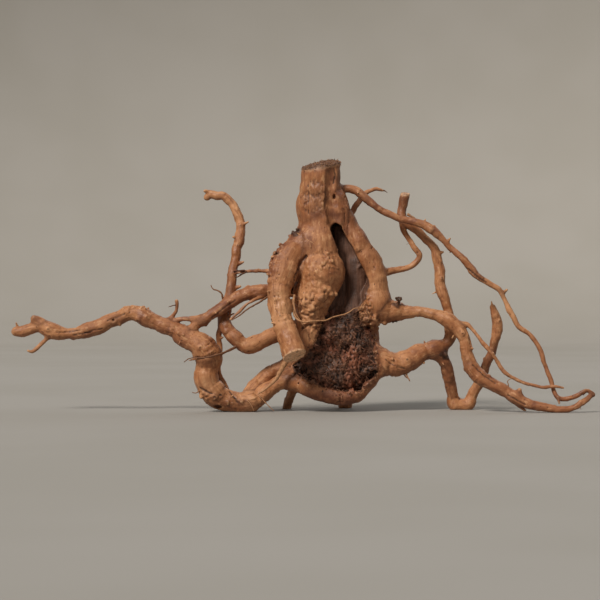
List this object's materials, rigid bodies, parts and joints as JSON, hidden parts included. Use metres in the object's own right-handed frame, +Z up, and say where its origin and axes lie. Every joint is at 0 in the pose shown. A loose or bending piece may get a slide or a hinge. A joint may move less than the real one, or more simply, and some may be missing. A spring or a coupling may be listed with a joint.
{
  "type": "dry root",
  "caption": "Weathered root crown with a sawn stem, a hollow dark heart and long crooked roots, standing free on its root feet.",
  "frame": {"origin": "middle of the bottom of the whole root's box, on the plane that its feet stand on", "axes": "+Z up along the sawn stem, +X along the longest spread of the roots, +Y towards the back"},
  "size_m": [0.5795, 0.1256, 0.2509],
  "materials": {
    "weathered_wood": "bare dry root wood, barkless and matt, tan with darker stains, pores and cracks",
    "dark_heart": "crumbling dark brown heartwood, very matt, with black holes"
  },
  "bodies": {
    "root": {"dry_root": "weathered_wood"}
  },
  "joints": []
}
